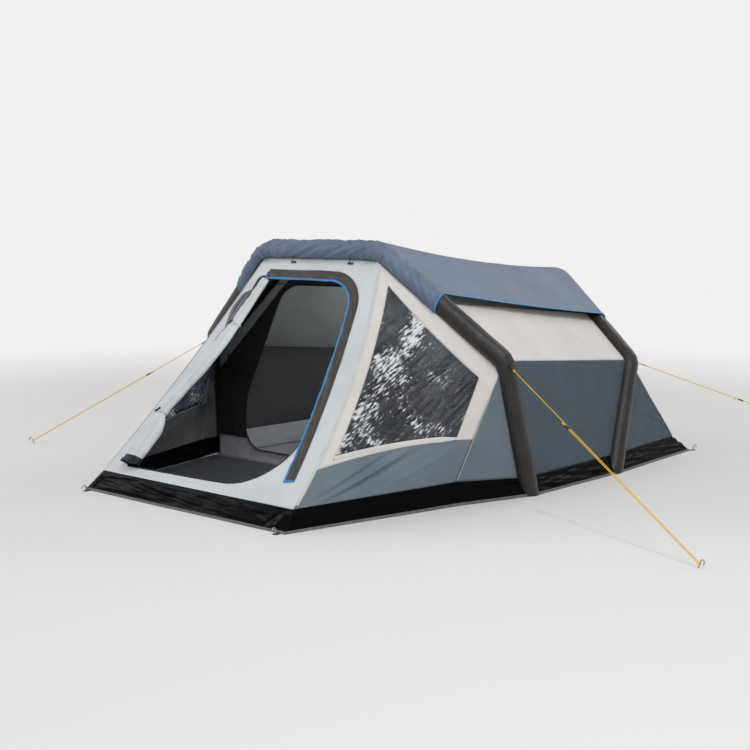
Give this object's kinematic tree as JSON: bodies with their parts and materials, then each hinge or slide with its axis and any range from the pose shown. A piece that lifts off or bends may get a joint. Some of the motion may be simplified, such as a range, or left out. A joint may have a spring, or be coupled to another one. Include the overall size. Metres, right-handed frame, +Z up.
{
  "type": "tunnel tent",
  "caption": "Low tunnel tent on two leaning air-tube arches, with a sloping porch, clear side windows, inner tent, roof cover, mud skirt, guy lines and pegs.",
  "frame": {"origin": "on the ground, under the inner tent's floor, midway between the feet of the front arch", "axes": "+Z up; the porch door looks along -Y; +X is on the right of someone who looks along +Y, into the tent"},
  "size_m": [5.191, 4.1784, 1.6101],
  "materials": {
    "air_tube": "dark woven sleeve over an air tube, semi-matt",
    "roof_cloth": "coated polyester, blue grey, matt",
    "pale_cloth": "coated polyester, pale grey, matt",
    "side_cloth": "coated polyester, warm pale grey, matt",
    "slate_cloth": "coated polyester, slate grey, matt",
    "mid_cloth": "coated polyester, mid grey, matt",
    "skirt_sheet": "black coated sheet, glossy",
    "window_film": "clear flexible film, glossy",
    "flap_cloth": "dark woven strip, matt",
    "liner_cloth": "breathable polyester, grey, matt",
    "inner_cloth": "black breathable polyester, matt",
    "floor_sheet": "coated groundsheet, grey",
    "cord": "braided yellow cord",
    "steel": "zinc-plated steel wire",
    "moulded": "moulded black plastic"
  },
  "bodies": {
    "tent": {"front_arch": "air_tube", "rear_arch": "air_tube", "roof_cover": "roof_cloth", "cabin_roof": "pale_cloth", "front_wall": "pale_cloth", "door_roll": "pale_cloth", "side_upper_right": "side_cloth", "side_upper_left": "side_cloth", "porch_side_right": "side_cloth", "porch_side_left": "side_cloth", "side_lower_right": "slate_cloth", "side_lower_left": "slate_cloth", "rear_wall": "slate_cloth", "rear_gusset_right": "slate_cloth", "rear_gusset_left": "slate_cloth", "porch_lower_right": "mid_cloth", "porch_lower_left": "mid_cloth", "porch_gusset_right": "mid_cloth", "porch_gusset_left": "mid_cloth", "skirt_front": "skirt_sheet", "skirt_porch_right": "skirt_sheet", "skirt_porch_left": "skirt_sheet", "skirt_side_right": "skirt_sheet", "skirt_side_left": "skirt_sheet", "skirt_rear": "skirt_sheet", "window_right": "window_film", "window_left": "window_film", "storm_flap": "flap_cloth", "inner_tent": "liner_cloth", "inner_front_wall": "inner_cloth", "inner_floor": "floor_sheet", "porch_groundsheet": "floor_sheet", "guy_line_front_right": "cord", "guy_line_front_left": "cord", "guy_line_rear_right": "cord", "guy_line_rear_left": "cord", "corner_peg_front_right": "steel", "corner_peg_front_left": "steel", "corner_peg_rear_right": "steel", "corner_peg_rear_left": "steel", "guy_peg_front_right": "steel", "guy_peg_front_left": "steel", "guy_peg_rear_right": "steel", "guy_peg_rear_left": "steel", "front_valve": "moulded", "rear_valve": "moulded", "zip_track": "moulded"},
    "front_valve_cap": {"front_valve_cap": "moulded"},
    "rear_valve_cap": {"rear_valve_cap": "moulded"},
    "zip_slider": {"zip_slider": "moulded"},
    "door_toggle_upper": {"door_toggle_upper": "moulded"},
    "door_toggle_lower": {"door_toggle_lower": "moulded"},
    "top_tie_left": {"top_tie_left": "moulded"},
    "top_tie_right": {"top_tie_right": "moulded"},
    "runner_front_right": {"runner_front_right": "moulded"},
    "runner_front_left": {"runner_front_left": "moulded"},
    "runner_rear_right": {"runner_rear_right": "moulded"},
    "runner_rear_left": {"runner_rear_left": "moulded"}
  },
  "joints": [
    {"name": "runner_front_right_slide", "type": "slide", "parent": "tent", "child": "runner_front_right", "axis": [0.8433, -0.3078, -0.4406], "range_m": [0, 0.3]},
    {"name": "runner_front_left_slide", "type": "slide", "parent": "tent", "child": "runner_front_left", "axis": [-0.7739, -0.4037, -0.4879], "range_m": [0, 0.3]},
    {"name": "runner_rear_right_slide", "type": "slide", "parent": "tent", "child": "runner_rear_right", "axis": [0.7106, 0.6163, -0.3393], "range_m": [0, 0.3]},
    {"name": "runner_rear_left_slide", "type": "slide", "parent": "tent", "child": "runner_rear_left", "axis": [-0.7144, 0.6119, -0.3393], "range_m": [0, 0.3]},
    {"name": "zip_slider_slide", "type": "slide", "parent": "tent", "child": "zip_slider", "axis": [1, 0, 0], "range_m": [0, 0.45]},
    {"name": "front_valve_cap_turn", "type": "hinge", "parent": "tent", "child": "front_valve_cap", "pos_m": [-1.20874, -0.0634, 0.2], "axis": [-1, -0.0018, 0.0057], "range_deg": [0, 360]},
    {"name": "rear_valve_cap_turn", "type": "hinge", "parent": "tent", "child": "rear_valve_cap", "pos_m": [-1.18592, 1.0254, 0.2], "axis": [-0.9832, 0.0985, 0.1534], "range_deg": [0, 360]},
    {"name": "door_toggle_upper_swivel", "type": "hinge", "parent": "tent", "child": "door_toggle_upper", "pos_m": [-0.42236, -0.81811, 0.96652], "axis": [0, -0.804, 0.5946], "range_deg": [-85, 85]},
    {"name": "door_toggle_lower_swivel", "type": "hinge", "parent": "tent", "child": "door_toggle_lower", "pos_m": [-0.60597, -1.23704, 0.45971], "axis": [0, -0.7366, 0.6763], "range_deg": [-85, 85]},
    {"name": "top_tie_left_swivel", "type": "hinge", "parent": "tent", "child": "top_tie_left", "pos_m": [-0.203, -0.49239, 1.32243], "axis": [0, -0.8437, 0.5368], "range_deg": [-85, 85]},
    {"name": "top_tie_right_swivel", "type": "hinge", "parent": "tent", "child": "top_tie_right", "pos_m": [0.266, -0.49239, 1.32243], "axis": [0, -0.8437, 0.5368], "range_deg": [-85, 85]}
  ]
}
